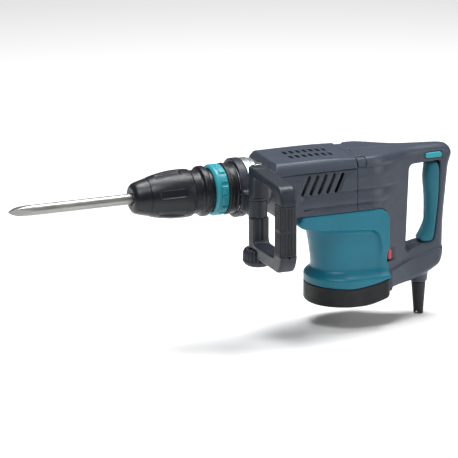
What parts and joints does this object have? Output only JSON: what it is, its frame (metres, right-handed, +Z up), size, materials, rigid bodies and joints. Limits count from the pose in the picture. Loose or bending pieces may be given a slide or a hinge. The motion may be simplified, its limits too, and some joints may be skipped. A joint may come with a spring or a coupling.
{
  "type": "demolition hammer",
  "caption": "Corded electric demolition hammer with a pointed chisel, a swivelling side handle, a teal motor housing below the barrel and a D-shaped rear handle.",
  "frame": {"origin": "centre of the motor on the flat base of the bottom cover", "axes": "+Z up along the motor axis, +X from the bit to the rear handle along the barrel, +Y to the tool's right"},
  "size_m": [0.784, 0.2815, 0.312],
  "materials": {
    "bit_steel": "satin ground bar",
    "sleeve_plastic": "satin moulded plastic",
    "nose_rubber": "matte rubber",
    "ring_plastic": "satin teal plastic",
    "seal_rubber": "matte",
    "cast_aluminium": "machined and cast",
    "painted_aluminium": "black painted casting",
    "dark_steel": "hardened steel",
    "bright_steel": "ground steel",
    "winding_copper": "lacquered copper",
    "brush_brass": "pressed sheet",
    "inner_plastic": "plain",
    "cover_plastic": "fine-grained slate plastic",
    "motor_plastic": "satin teal plastic",
    "base_plastic": "satin black plastic",
    "grip_rubber": "soft moulded rubber",
    "switch_plastic": "satin",
    "lamp_lens": "translucent lens",
    "guard_rubber": "matte",
    "side_handle_plastic": "glass-filled plastic",
    "side_grip_rubber": "fluted rubber"
  },
  "bodies": {
    "housing": {"barrel": "cast_aluminium", "barrel_collar": "sleeve_plastic", "body_cover": "cover_plastic", "bottom_cover": "base_plastic", "brush_holder_left": "brush_brass", "brush_holder_right": "brush_brass", "cord_clamp": "inner_plastic", "cord_guard": "guard_rubber", "crank_bearing": "bright_steel", "cylinder": "bright_steel", "end_bracket": "cast_aluminium", "gear_housing": "painted_aluminium", "handle_left": "cover_plastic", "handle_right": "cover_plastic", "handle_screw_1": "bright_steel", "handle_screw_2": "bright_steel", "handle_screw_3": "bright_steel", "handle_screw_4": "bright_steel", "main_switch": "inner_plastic", "motor_bearing_lower": "bright_steel", "motor_bearing_upper": "bright_steel", "motor_housing": "motor_plastic", "ring_seal": "seal_rubber", "service_lamp": "lamp_lens", "soft_grip": "grip_rubber", "speed_controller": "inner_plastic", "stator": "dark_steel", "top_cover": "cover_plastic"},
    "holder": {"tool_holder": "dark_steel", "nose_cap": "nose_rubber", "holder_cover": "sleeve_plastic", "locking_roller_left": "bright_steel", "locking_roller_right": "bright_steel", "sleeve_spring": "dark_steel"},
    "sleeve": {"release_sleeve": "sleeve_plastic"},
    "angle_ring": {"change_ring": "ring_plastic"},
    "bit": {"chisel_bit": "bit_steel"},
    "impact": {"impact_bolt": "dark_steel"},
    "striker": {"striker": "bright_steel", "striker_ring": "seal_rubber"},
    "piston": {"piston": "cast_aluminium", "piston_ring": "seal_rubber", "piston_pin": "bright_steel"},
    "con_rod": {"connecting_rod": "dark_steel"},
    "crank": {"crank_shaft": "dark_steel"},
    "rotor": {"armature": "winding_copper", "cooling_fan": "inner_plastic"},
    "brush_left": {"carbon_brush_left": "inner_plastic"},
    "brush_right": {"carbon_brush_right": "inner_plastic"},
    "switch": {"switch_lever": "switch_plastic"},
    "dial": {"speed_dial": "inner_plastic"},
    "handle_clamp": {"clamp_upper": "side_handle_plastic", "clamp_lower": "side_handle_plastic", "clamp_bolt": "bright_steel"},
    "side_handle": {"side_handle": "side_handle_plastic", "side_grip": "side_grip_rubber"},
    "knob": {"clamp_knob": "side_handle_plastic"}
  },
  "joints": [
    {"name": "bit_angle", "type": "hinge", "parent": "housing", "child": "holder", "pos_m": [-0.3, 0, 0.21], "axis": [1, 0, 0], "continuous": true},
    {"name": "sleeve_pull", "type": "slide", "parent": "holder", "child": "sleeve", "axis": [1, 0, 0], "range_m": [0, 0.012], "stiffness_N_per_m": 900, "deforming": ["sleeve_spring"]},
    {"name": "ring_shift", "type": "slide", "parent": "holder", "child": "angle_ring", "axis": [-1, 0, 0], "range_m": [0, 0.006]},
    {"name": "bit_play", "type": "slide", "parent": "holder", "child": "bit", "axis": [1, 0, 0], "range_m": [-0.009, 0.01]},
    {"name": "impact_bolt_travel", "type": "slide", "parent": "housing", "child": "impact", "axis": [1, 0, 0], "range_m": [0, 0.008]},
    {"name": "striker_travel", "type": "slide", "parent": "housing", "child": "striker", "axis": [1, 0, 0], "range_m": [0, 0.02]},
    {"name": "piston_stroke", "type": "slide", "parent": "housing", "child": "piston", "axis": [1, 0, 0], "range_m": [0, 0.03]},
    {"name": "con_rod_swing", "type": "hinge", "parent": "piston", "child": "con_rod", "pos_m": [-0.096, 0, 0.21], "axis": [0, 0, 1], "range_deg": [-14, 14]},
    {"name": "armature_spin", "type": "hinge", "parent": "housing", "child": "rotor", "pos_m": [0, 0, 0.21], "axis": [0, 0, 1], "continuous": true},
    {"name": "crank_turn", "type": "hinge", "parent": "housing", "child": "crank", "pos_m": [-0.026, 0, 0.21], "axis": [0, 0, 1], "continuous": true},
    {"name": "brush_left_travel", "type": "slide", "parent": "housing", "child": "brush_left", "axis": [0, -1, 0], "range_m": [0, 0.008]},
    {"name": "brush_right_travel", "type": "slide", "parent": "housing", "child": "brush_right", "axis": [0, 1, 0], "range_m": [0, 0.008]},
    {"name": "switch_push", "type": "slide", "parent": "housing", "child": "switch", "axis": [0, 1, 0], "range_m": [0, 0.004]},
    {"name": "dial_turn", "type": "hinge", "parent": "housing", "child": "dial", "pos_m": [0.088, 0.032, 0.152], "axis": [0, 0, 1], "range_deg": [0, 270]},
    {"name": "handle_turn", "type": "hinge", "parent": "housing", "child": "handle_clamp", "pos_m": [-0.1925, 0, 0.21], "axis": [1, 0, 0], "continuous": true},
    {"name": "handle_swing", "type": "hinge", "parent": "handle_clamp", "child": "side_handle", "pos_m": [-0.186, -0.081, 0.21], "axis": [0, 0, 1], "range_deg": [-90, 90]},
    {"name": "knob_turn", "type": "hinge", "parent": "handle_clamp", "child": "knob", "pos_m": [-0.186, -0.081, 0.21], "axis": [0, 0, 1], "range_deg": [0, 540]}
  ],
  "couplings": [
    {"joint": "crank_turn", "follows": "armature_spin", "ratio": -0.27273}
  ]
}
